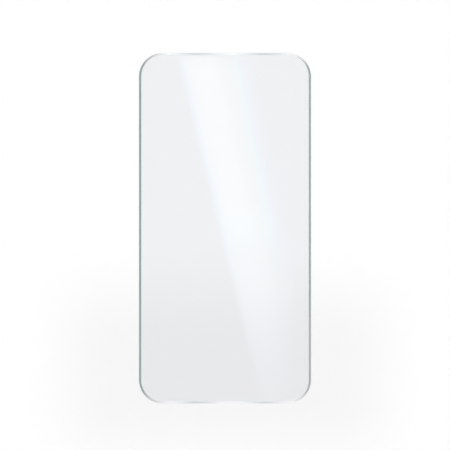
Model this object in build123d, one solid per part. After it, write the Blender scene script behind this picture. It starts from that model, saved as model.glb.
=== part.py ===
from build123d import *
import os

# Clear tempered-glass screen protector for a phone with a display of about 6.1 inches. It is one sheet
# of glass: a rounded rectangle cut from flat stock, with a curved edge ground all round its touch face
# and a fine seam taken off its back edge. Millimetres.
# The sheet lies on its back. z = 0 is the face that bonds to the phone, +Z points out of the touch face,
# +Y runs towards the phone's earpiece end, and the origin is the middle of the back face.

# Driving dimensions
sheet_width = 70.0
sheet_length = 142.8
sheet_thickness = 0.33
corner_radius = 9.5
# Width of the curved edge as seen from the front, from the flat touch face out to the rim
edge_width = 0.85
# How far the curved edge falls from the touch face to the rim
edge_drop = 0.18
# Size of the 45 degree seam on the back edge
back_seam = 0.05
# How far the grinding wheel reaches past the glass, above the touch face and outside the rim
wheel_overrun = 0.5


def glass_blank(outline):
    """The flat blank cut from stock, with the seam taken off its back edge."""
    blank = extrude(outline, sheet_thickness)
    back_face = blank.faces().sort_by(Axis.Z)[0]
    return chamfer(back_face.edges(), back_seam)


def wheel_section():
    """The grinding wheel's section, with x outwards from the rim and y upwards from the touch face.

    Its cutting side is an arc that leaves the touch face along a tangent and falls to the rim, and
    then a straight run along the arc's end tangent, out past the glass.
    """
    arc = TangentArc((-edge_width, 0), (0, -edge_drop), tangent=(1, 0))
    end_slope = (arc % 1).Y / (arc % 1).X
    outside = Polyline(
        arc @ 1,
        (wheel_overrun, -edge_drop + end_slope * wheel_overrun),
        (wheel_overrun, wheel_overrun),
        (-edge_width, wheel_overrun),
        arc @ 0,
    )
    return make_face([arc, outside])


def wheel_track(outline):
    """The space that the wheel takes up as it goes once round the rim."""
    rim = Pos(0, 0, sheet_thickness) * outline.wire()
    along = rim % 0
    outwards = along.cross(Vector(0, 0, 1))
    start = Plane(rim @ 0, x_dir=outwards, z_dir=-along)
    return sweep(start * wheel_section(), path=rim)


outline = RectangleRounded(sheet_width, sheet_length, corner_radius)
glass_sheet = glass_blank(outline) - wheel_track(outline)

os.makedirs("parts", exist_ok=True)
export_step(glass_sheet, "parts/glass_sheet.step")
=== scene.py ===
import math

import bmesh
import bpy
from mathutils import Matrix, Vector


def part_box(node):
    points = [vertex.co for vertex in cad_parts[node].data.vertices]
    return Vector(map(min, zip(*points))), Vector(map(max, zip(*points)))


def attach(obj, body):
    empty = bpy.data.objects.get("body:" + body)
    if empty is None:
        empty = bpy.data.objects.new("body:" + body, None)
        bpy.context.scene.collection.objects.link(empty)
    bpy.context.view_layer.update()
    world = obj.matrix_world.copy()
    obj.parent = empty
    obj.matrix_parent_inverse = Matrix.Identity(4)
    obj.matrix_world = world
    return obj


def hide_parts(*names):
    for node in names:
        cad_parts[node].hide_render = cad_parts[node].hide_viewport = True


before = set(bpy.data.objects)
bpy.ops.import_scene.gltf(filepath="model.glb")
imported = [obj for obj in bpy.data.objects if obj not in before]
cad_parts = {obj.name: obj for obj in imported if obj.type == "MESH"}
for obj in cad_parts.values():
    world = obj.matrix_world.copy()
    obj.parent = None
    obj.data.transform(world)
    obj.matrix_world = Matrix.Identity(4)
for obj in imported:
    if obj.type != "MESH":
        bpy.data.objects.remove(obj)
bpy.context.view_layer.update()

# A clear glass screen protector for a phone. It lies on its back on a pale floor, and the camera looks
# straight down on it. Metres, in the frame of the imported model: z = 0 is the back face, +Z points out
# of the touch face, and +Y is up in the picture.

mm = 0.001

# The sheet. Its box comes from the frame, and its edge has the sizes of the solid.
low_corner, high_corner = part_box("glass_sheet")
half_width = (high_corner.x - low_corner.x) / 2
half_length = (high_corner.y - low_corner.y) / 2
thickness = high_corner.z - low_corner.z
corner_radius = 9.5 * mm
edge_width = 0.85 * mm
edge_drop = 0.18 * mm
back_seam = 0.05 * mm

# Steps of the mesh: round each corner, across the curved edge, and along each straight end and side
corner_steps = 24
arc_steps = 14
end_steps = 40
side_steps = 60

# The straight stretches end at the middles of the corner arcs
straight_x = half_width - corner_radius
straight_y = half_length - corner_radius
corner_sides = ((1, 1), (-1, 1), (-1, -1), (1, -1))
run_steps = (end_steps, side_steps, end_steps, side_steps)

# The two materials in the mesh's list, and the values that the mesh carries for the second: its tint, which
# is partly painted shade, and how green that is
clear_index = 0
edge_index = 1
tint_and_shade_layer = "edge_tint_and_shade"
green_layer = "edge_green"

# The ground edge along each long side: its tint, from 0 for clear to 1, and how green that is, from 0 for
# grey to 1, each on the upper and on the lower part of the side, the heights between which the one changes
# to the other, and the distances past the end of the straight side between which the tint fades out. The
# tint is partly the glass's own and partly painted shade: the dark line along the long sides, paler on the
# right and lower down and fading round the corners, stands in for dark surroundings seen in the edge.
left_side = {
    "tint": (1.0, 0.96),
    "green": (1.0, 1.0),
    "change": (-22 * mm, -31 * mm),
    "fade": (4.5 * mm, 17.8 * mm),
}
right_side = {
    "tint": (0.93, 0.82),
    "green": (0.7, 0.2),
    "change": (-27 * mm, -44 * mm),
    "fade": (3.3 * mm, 13.0 * mm),
}
# The distances past the end of the straight side between which the green fades to grey
green_fade = (1.0 * mm, 6.5 * mm)
# Each end has a soft grey patch of painted shade on either side of its middle, standing in for dark
# surroundings mirrored in the edge: their spread, and each one's place and tint
top_shade_patches = (7.6 * mm, ((-11.3 * mm, 0.41), (16.5 * mm, 0.45)))
bottom_shade_patches = (6.6 * mm, ((-11.4 * mm, 0.43), (15.9 * mm, 0.36)))
# Share of the edge's width, from the rim inwards, that has the whole tint and painted shade
tinted_share = 0.97


def edge_section():
    """The edge from the back face round to the touch face, as (inset from the rim, height) pairs."""
    arc_radius = (edge_width**2 + edge_drop**2) / (2 * edge_drop)
    arc_angle = math.asin(edge_width / arc_radius)
    section = [(edge_width, 0.0), (back_seam, 0.0), (0.0, back_seam)]
    for step in range(arc_steps + 1):
        slope = arc_angle * (1 - step / arc_steps)
        inset = edge_width - arc_radius * math.sin(slope)
        section.append((inset, thickness - arc_radius * (1 - math.cos(slope))))
    return section


def outline(inset):
    """The rounded outline at an inset from the rim, as (place, outward direction) pairs, anticlockwise."""
    points = []
    radius = corner_radius - inset
    for corner, (side_x, side_y) in enumerate(corner_sides):
        middle = Vector((side_x * straight_x, side_y * straight_y))
        for step in range(corner_steps + 1):
            angle = math.radians(90) * (corner + step / corner_steps)
            outwards = Vector((math.cos(angle), math.sin(angle)))
            points.append((middle + radius * outwards, outwards))
        next_x, next_y = corner_sides[(corner + 1) % len(corner_sides)]
        run_start = points[-1][0]
        run_end = Vector((next_x * straight_x, next_y * straight_y)) + radius * outwards
        for step in range(1, run_steps[corner]):
            points.append((run_start.lerp(run_end, step / run_steps[corner]), outwards))
    return points


def share_between(start, end, value):
    """How far a value has come from start to end, from 0 to 1."""
    return min(max((value - start) / (end - start), 0.0), 1.0)


def smooth_step(start, end, value):
    """0 before start, 1 past end, and a smooth rise between them."""
    share = share_between(start, end, value)
    return share * share * (3 - 2 * share)


def side_value(side, name, height):
    """The tint, with its painted shade, or the greenness of a side at a height."""
    upper, lower = side[name]
    return upper + (lower - upper) * smooth_step(*side["change"], height)


def patch_shade(place):
    """Painted shade of the soft patches at the ends."""
    spread, patches = top_shade_patches if place.y > 0 else bottom_shade_patches
    return max(tint * math.exp(-(((place.x - middle) / spread) ** 2)) for middle, tint in patches)


def edge_values(inset, place, outwards):
    """The tint, partly painted shade, and its greenness at one place on the edge."""
    side = left_side if place.x < 0 else right_side
    turn = math.acos(min(abs(outwards.x), 1.0))
    way = corner_radius * turn + max(straight_x - abs(place.x), 0.0)
    side_tint_and_shade = side_value(side, "tint", place.y) * (1 - share_between(*side["fade"], way))
    across = 1 - smooth_step(tinted_share, 1.0, inset / edge_width)
    green = side_value(side, "green", place.y) * (1 - share_between(*green_fade, way))
    return {tint_and_shade_layer: across * max(side_tint_and_shade, patch_shade(place)), green_layer: green}


def add_ring(bm, inset, height):
    """One ring of vertices round the sheet, with the values that its material reads."""
    ring = []
    for place, outwards in outline(inset):
        vertex = bm.verts.new((place.x, place.y, height))
        for name, value in edge_values(inset, place, outwards).items():
            vertex[bm.verts.layers.float[name]] = value
        ring.append(vertex)
    return ring


def bridge(bm, lower, upper, material_index):
    """The faces between two rings, with one of the mesh's materials."""
    count = len(lower)
    for index in range(count):
        after = (index + 1) % count
        face = bm.faces.new((lower[index], lower[after], upper[after], upper[index]))
        face.smooth = True
        face.material_index = material_index


def fill_flat(bm, ring, height):
    """The flat face inside a ring: a grid in the middle, a strip along each run, a fan in each corner."""
    columns = [straight_x * (2 * step / end_steps - 1) for step in range(end_steps + 1)]
    rows = [straight_y * (2 * step / side_steps - 1) for step in range(side_steps + 1)]
    grid = [[bm.verts.new((x, y, height)) for y in rows] for x in columns]
    for column, after in zip(grid, grid[1:]):
        for row in range(side_steps):
            bm.faces.new((column[row], after[row], after[row + 1], column[row + 1]))
    top = [column[-1] for column in reversed(grid)]
    left = grid[0][::-1]
    bottom = [column[0] for column in grid]
    right = grid[-1]
    start = 0
    for corner, inner in enumerate((top, left, bottom, right)):
        for step in range(corner_steps):
            bm.faces.new((inner[0], ring[start + step], ring[start + step + 1]))
        start += corner_steps
        for step in range(run_steps[corner]):
            after = (start + step + 1) % len(ring)
            bm.faces.new((inner[step], ring[start + step], ring[after], inner[step + 1]))
        start += run_steps[corner]


def mark_sharp(bm, ring):
    """Keeps the crease along one ring."""
    for index, vertex in enumerate(ring):
        bm.edges.get((vertex, ring[index - 1])).smooth = False


def glass_mesh():
    """The sheet as one closed mesh, with clear glass on its faces and ground glass round its edge."""
    bm = bmesh.new()
    for name in (tint_and_shade_layer, green_layer):
        bm.verts.layers.float.new(name)
    rings = [add_ring(bm, inset, height) for inset, height in edge_section()]
    back_margin, *edge_strips = zip(rings, rings[1:])
    bridge(bm, *back_margin, clear_index)
    for strip in edge_strips:
        bridge(bm, *strip, edge_index)
    fill_flat(bm, rings[0], 0.0)
    fill_flat(bm, rings[-1], thickness)
    bmesh.ops.recalc_face_normals(bm, faces=bm.faces[:])
    back_rim, seam_top, wall_top = rings[1:4]
    for ring in (back_rim, seam_top, wall_top):
        mark_sharp(bm, ring)
    mesh = bpy.data.meshes.new("screen_glass")
    bm.to_mesh(mesh)
    bm.free()
    return mesh


def set_input(tree, socket, value):
    """Links a socket to another node's output, or sets its constant value."""
    if isinstance(value, bpy.types.NodeSocket):
        tree.links.new(value, socket)
    else:
        socket.default_value = value


def mix_colours(tree, factor, first, second, blend="MIX"):
    """A colour that goes with a factor from the first to the second, or to their product for MULTIPLY."""
    mix = tree.nodes.new("ShaderNodeMix")
    mix.data_type = "RGBA"
    mix.blend_type = blend
    set_input(tree, mix.inputs["Factor"], factor)
    set_input(tree, mix.inputs["A"], first)
    set_input(tree, mix.inputs["B"], second)
    return mix.outputs["Result"]


def math_node(tree, operation, first, second=0.0):
    """The result of an operation on one or two values."""
    node = tree.nodes.new("ShaderNodeMath")
    node.operation = operation
    set_input(tree, node.inputs[0], first)
    set_input(tree, node.inputs[1], second)
    return node.outputs["Value"]


def mesh_value(tree, name):
    """A value that the mesh carries."""
    node = tree.nodes.new("ShaderNodeAttribute")
    node.attribute_name = name
    return node.outputs["Fac"]


def coordinate_parts(tree, name):
    """The X, Y and Z of a coordinate."""
    coordinates = tree.nodes.new("ShaderNodeTexCoord")
    parts = tree.nodes.new("ShaderNodeSeparateXYZ")
    tree.links.new(coordinates.outputs[name], parts.inputs["Vector"])
    return parts.outputs


def add_ramp(tree, factor, stops):
    """A ramp through (position, colour) stops, over a factor. A plain number stands for a level of grey."""
    ramp = tree.nodes.new("ShaderNodeValToRGB")
    elements = ramp.color_ramp.elements
    for index, (position, colour) in enumerate(stops):
        element = elements[index] if index < len(elements) else elements.new(position)
        element.position = position
        element.color = colour if isinstance(colour, tuple) else (colour, colour, colour, 1)
    tree.links.new(factor, ramp.inputs["Fac"])
    return ramp.outputs["Color"]


def falloff(tree, value, gone, full):
    """A smooth rise from 0, where the value is gone, to 1, where it is full."""
    node = tree.nodes.new("ShaderNodeMapRange")
    node.interpolation_type = "SMOOTHSTEP"
    tree.links.new(value, node.inputs["Value"])
    node.inputs["From Min"].default_value = gone
    node.inputs["From Max"].default_value = full
    return node.outputs["Result"]


def new_material(name):
    """An empty material and its node tree."""
    material = bpy.data.materials.new(name)
    material.use_nodes = True
    material.node_tree.nodes.clear()
    return material, material.node_tree


# The glass: how it bends light, and how clear it is. The ground edge is part clear and part frosted.
glass_ior = 1.52
body_clearness = 1.0
edge_clearness = 0.5
# Colours that the glass gives to what is seen through it, and to light on its way to the floor. The edge
# is pale at the ends and darker where it is tinted, a darkness that is partly the glass's own tint and
# partly painted shade.
body_colour = (0.969, 0.973, 0.973, 1)
body_shade = (0.967, 0.969, 0.979, 1)
edge_colour = (0.97, 0.975, 0.98, 1)
green_tint_and_shade_colour = (0.195, 0.283, 0.281, 1)
grey_tint_and_shade_colour = (0.225, 0.228, 0.238, 1)
edge_shade = (0.98, 0.985, 0.99, 1)
tinted_edge_shade = (0.685, 0.755, 0.755, 1)
# Unevenness of the finish: the noise's detail and scales, and the least and the most roughness it gives
finish_detail = 3.0
polish_scale = 45.0
polish_roughness = (0.004, 0.03)
grinding_scale = 900.0
grinding_roughness = (0.2, 0.3)


def uneven_roughness(tree, scale, roughness):
    """Roughness that varies a little over the surface, between two values."""
    coordinates = tree.nodes.new("ShaderNodeTexCoord")
    noise = tree.nodes.new("ShaderNodeTexNoise")
    noise.inputs["Scale"].default_value = scale
    noise.inputs["Detail"].default_value = finish_detail
    tree.links.new(coordinates.outputs["Object"], noise.inputs["Vector"])
    levels = tree.nodes.new("ShaderNodeMapRange")
    levels.inputs["To Min"].default_value, levels.inputs["To Max"].default_value = roughness
    tree.links.new(noise.outputs["Fac"], levels.inputs["Value"])
    return levels.outputs["Result"]


def finish_glass(tree, colour, shade, roughness, clearness):
    """Glass of a colour, which lets light from the lamps and the floor straight through with a shade."""
    glass = tree.nodes.new("ShaderNodeBsdfPrincipled")
    glass.inputs["IOR"].default_value = glass_ior
    glass.inputs["Transmission Weight"].default_value = clearness
    set_input(tree, glass.inputs["Base Color"], colour)
    set_input(tree, glass.inputs["Roughness"], roughness)
    light_path = tree.nodes.new("ShaderNodeLightPath")
    clear = tree.nodes.new("ShaderNodeBsdfTransparent")
    set_input(tree, clear.inputs["Color"], shade)
    for_lamps = tree.nodes.new("ShaderNodeMixShader")
    tree.links.new(light_path.outputs["Is Shadow Ray"], for_lamps.inputs["Fac"])
    tree.links.new(glass.outputs["BSDF"], for_lamps.inputs[1])
    tree.links.new(clear.outputs["BSDF"], for_lamps.inputs[2])
    for_floor = tree.nodes.new("ShaderNodeMixShader")
    tree.links.new(light_path.outputs["Is Diffuse Ray"], for_floor.inputs["Fac"])
    tree.links.new(for_lamps.outputs["Shader"], for_floor.inputs[1])
    tree.links.new(clear.outputs["BSDF"], for_floor.inputs[2])
    output = tree.nodes.new("ShaderNodeOutputMaterial")
    tree.links.new(for_floor.outputs["Shader"], output.inputs["Surface"])


def clear_material():
    """Clear polished glass with a faint cool tint."""
    material, tree = new_material("clear_glass")
    roughness = uneven_roughness(tree, polish_scale, polish_roughness)
    finish_glass(tree, body_colour, body_shade, roughness, body_clearness)
    return material


def edge_material():
    """Ground glass, tinted and darkened with painted shade by the values on the mesh."""
    material, tree = new_material("ground_edge")
    tint = mesh_value(tree, tint_and_shade_layer)
    tint_and_shade_colour = mix_colours(tree, mesh_value(tree, green_layer), grey_tint_and_shade_colour, green_tint_and_shade_colour)
    colour = mix_colours(tree, tint, edge_colour, tint_and_shade_colour)
    shade = mix_colours(tree, tint, edge_shade, tinted_edge_shade)
    roughness = uneven_roughness(tree, grinding_scale, grinding_roughness)
    finish_glass(tree, colour, shade, roughness, edge_clearness)
    return material


def add_glass():
    """The sheet, in place of its solid."""
    sheet = bpy.data.objects.new("screen_glass", glass_mesh())
    bpy.context.scene.collection.objects.link(sheet)
    for material in (clear_material(), edge_material()):
        sheet.data.materials.append(material)
    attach(sheet, "root")
    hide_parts("glass_sheet")


# The floor, a hair below the back face, and the soft grey pool of shade painted into its colour round the
# lower half of the sheet. Each pair of values is where the pool's shade is gone and where it is full.
floor_gap = 0.05 * mm
floor_half_size = 4.0
floor_colour = (0.9795, 0.978, 0.978, 1)
painted_pool_colour = (0.905, 0.903, 0.9035, 1)
pool_side = (86 * mm, 43 * mm)
pool_top = (-4 * mm, -49 * mm)
pool_bottom = (-108 * mm, -70 * mm)


def floor_material():
    """Matt white, a little greyer in the pool of painted shade."""
    material, tree = new_material("pale_floor")
    x, y, _ = coordinate_parts(tree, "Object")
    sideways = falloff(tree, math_node(tree, "ABSOLUTE", x), *pool_side)
    upper = falloff(tree, y, *pool_top)
    lower = falloff(tree, y, *pool_bottom)
    painted_pool = math_node(tree, "MULTIPLY", sideways, math_node(tree, "MULTIPLY", upper, lower))
    matt = tree.nodes.new("ShaderNodeBsdfDiffuse")
    tree.links.new(mix_colours(tree, painted_pool, floor_colour, painted_pool_colour), matt.inputs["Color"])
    output = tree.nodes.new("ShaderNodeOutputMaterial")
    tree.links.new(matt.outputs["BSDF"], output.inputs["Surface"])
    return material


def add_floor():
    """The floor that the sheet lies on."""
    bm = bmesh.new()
    bmesh.ops.create_grid(bm, x_segments=1, y_segments=1, size=floor_half_size)
    mesh = bpy.data.meshes.new("floor")
    bm.to_mesh(mesh)
    bm.free()
    floor = bpy.data.objects.new("floor", mesh)
    floor.location.z = -floor_gap
    bpy.context.scene.collection.objects.link(floor)
    mesh.materials.append(floor_material())


# The camera: its lens, the width that it takes in at the touch face, and how far up from the sheet's
# middle it stands
lens_mm = 100.0
sensor_mm = 36.0
frame_width = 183.4 * mm
aim_above_middle = 1.3 * mm


def add_camera():
    """The camera, straight above the sheet, with the photograph's framing."""
    data = bpy.data.cameras.new("camera")
    data.lens = lens_mm
    data.sensor_width = sensor_mm
    camera = bpy.data.objects.new("camera", data)
    camera.location = (0.0, aim_above_middle, thickness + frame_width * lens_mm / sensor_mm)
    bpy.context.scene.collection.objects.link(camera)
    bpy.context.scene.camera = camera
    return camera


# The strip light that the touch face mirrors as a slanted band. Its sizes here are those of its mirror
# image on the sheet, and the lamp is larger by how much further away it is.
strip_height = 0.9
strip_width = 32.5 * mm
strip_top = 77.0 * mm
strip_foot = -86.0 * mm
strip_start_x = -3.0 * mm
strip_slant = 0.2475
strip_radiance = 1.07
# By the way up from its foot: its level, its width, and where its lower part gives way to its upper part
strip_rise = ((0, 0), (0.1, 0.2), (0.2, 0.34), (0.27, 0.6), (0.37, 0.8), (0.47, 0.79), (0.52, 1.1))
strip_end = ((0.57, 1.1), (0.6, 1), (0.943, 1), (0.96, 0.2))
strip_taper = ((0, 0.25), (0.11, 0.45), (0.2, 0.64), (0.35, 0.83), (0.6, 0.91), (0.9, 1))
strip_change = (0.46, 0.53)
# Levels across its two parts, from its left: a bright core beside a dimmer shelf, and a plain soft beam
upper_core = ((0, 0), (0.08, 0.62), (0.15, 0.9), (0.23, 1), (0.47, 1), (0.55, 0.71), (0.6, 0.65))
upper_shelf = ((0.755, 0.65), (0.82, 0.31), (0.9, 0.1), (1, 0.02))
lower_rise = ((0, 0.1), (0.042, 0.5), (0.08, 0.8), (0.14, 1))
lower_fall = ((0.47, 1), (0.7, 0.55), (0.85, 0.3), (1, 0.03))
# Colours of its light: white in its core, edged with cyan and blue, and a little cyan below its middle
white_light = (1, 1, 1, 1)
cyan_light = (0.42, 1, 0.93, 1)
sky_light = (0.35, 1, 1.5, 1)
blue_light = (0.95, 1, 2.1, 1)
middle_light = (0.8, 1, 0.98, 1)
foot_light = (1, 1, 1.15, 1)
# The edging by the way across, and the ways up between which it sets in
left_edging = ((0.035, sky_light), (0.145, white_light))
right_edging = ((0.625, white_light), (0.72, cyan_light), (0.785, sky_light), (0.865, blue_light))
edging_start = (0.37, 0.46)
# The colour of the whole width by the way up
light_up = ((0.2, foot_light), (0.46, middle_light), (0.55, middle_light), (0.585, white_light))


def add_area_lamp(name, place, turn, size, radiance):
    """An area lamp with a radiance where its own levels are 1. Returns its node tree."""
    data = bpy.data.lights.new(name, "AREA")
    data.shape = "RECTANGLE"
    data.size, data.size_y = size
    data.energy = math.pi * size[0] * size[1] * radiance
    data.use_nodes = True
    lamp = bpy.data.objects.new(name, data)
    lamp.location = place
    lamp.rotation_euler = turn
    bpy.context.scene.collection.objects.link(lamp)
    return data.node_tree


def shade_strip(tree, right_lift):
    """Levels and colours over the strip, whose right side is higher by a share of its length."""
    x, y, _ = coordinate_parts(tree, "UV")
    from_middle = math_node(tree, "SUBTRACT", x, 0.5)
    way_up = math_node(tree, "ADD", y, math_node(tree, "MULTIPLY", from_middle, right_lift))
    way_across = math_node(tree, "DIVIDE", x, add_ramp(tree, way_up, strip_taper))
    emission = tree.nodes["Emission"]

    upper = add_ramp(tree, way_across, upper_core + upper_shelf)
    lower = add_ramp(tree, way_across, lower_rise + lower_fall)
    profile = mix_colours(tree, falloff(tree, way_up, *strip_change), lower, upper)
    level = math_node(tree, "MULTIPLY", profile, add_ramp(tree, way_up, strip_rise + strip_end))
    tree.links.new(level, emission.inputs["Strength"])

    edging = add_ramp(tree, way_across, left_edging + right_edging)
    edged = mix_colours(tree, falloff(tree, way_up, *edging_start), white_light, edging)
    colour = mix_colours(tree, 1.0, edged, add_ramp(tree, way_up, light_up), blend="MULTIPLY")
    tree.links.new(colour, emission.inputs["Color"])


def add_strip_light(camera):
    """A slanted strip lamp, crisp on its left, feathered on its right and fading towards its foot."""
    spread = 1 + strip_height / (camera.location.z - thickness)
    slant = math.atan(strip_slant)
    across = strip_width * math.cos(slant)
    along = (strip_top - strip_foot) / math.cos(slant)
    middle_y = (strip_top + strip_foot) / 2
    middle_x = strip_start_x + strip_width / 2 - strip_slant * middle_y
    under_camera = camera.location.xy
    middle = under_camera + (Vector((middle_x, middle_y)) - under_camera) * spread
    place = (middle.x, middle.y, thickness + strip_height)
    size = (across * spread, along * spread)
    tree = add_area_lamp("strip_light", place, (0, 0, slant), size, strip_radiance)
    shade_strip(tree, strip_slant * across / along)


# The surround, as levels by degrees above the horizon: white low down, with a bright ring high up and a
# dim middle overhead. Slanted panels stand round it below the ring, and the sheet mirrors them as bands
# when it is seen from low down. Their lean is in shares of the way from one panel to the next.
overhead = 90
surround_levels = ((0, 1.0), (6, 0.85), (14, 0.69), (57, 0.69), (65, 1.5), (77, 1.5), (81, 0.48))
panel_levels = ((4, 0), (12, 0.4), (30, 0.6), (45, 0.95), (58, 1.0), (66, 0))
panel_count = 20
panel_lean = 0.8
panel_across = ((0.02, 0), (0.1, 0.3), (0.16, 0.62), (0.28, 0.65), (0.33, 1), (0.45, 1), (0.475, 0))


def add_ramp_up(tree, way_up, levels):
    """A ramp through (degrees above the horizon, level) stops, over the way up from there to overhead."""
    return add_ramp(tree, way_up, [(degrees / overhead, level) for degrees, level in levels])


def add_world():
    """A soft white surround, which is the main light, with a ring of panels."""
    world = bpy.data.worlds.new("studio")
    bpy.context.scene.world = world
    world.use_nodes = True
    tree = world.node_tree
    x, y, z = coordinate_parts(tree, "Generated")
    way_up = math_node(tree, "DIVIDE", math_node(tree, "ARCSINE", z), math.radians(overhead))
    surround = add_ramp_up(tree, way_up, surround_levels)
    panel = add_ramp_up(tree, way_up, panel_levels)
    around = math_node(tree, "ARCTAN2", y, x)
    panels_round = math_node(tree, "MULTIPLY", around, panel_count / math.radians(360))
    lean = math_node(tree, "MULTIPLY", z, panel_lean)
    across = math_node(tree, "FRACT", math_node(tree, "ADD", panels_round, lean))
    panel_share = add_ramp(tree, across, panel_across)
    level = math_node(tree, "ADD", surround, math_node(tree, "MULTIPLY", panel, panel_share))
    tree.links.new(level, tree.nodes["Background"].inputs["Color"])


bpy.context.scene.view_settings.view_transform = "Standard"
add_glass()
add_floor()
camera = add_camera()
add_strip_light(camera)
add_world()
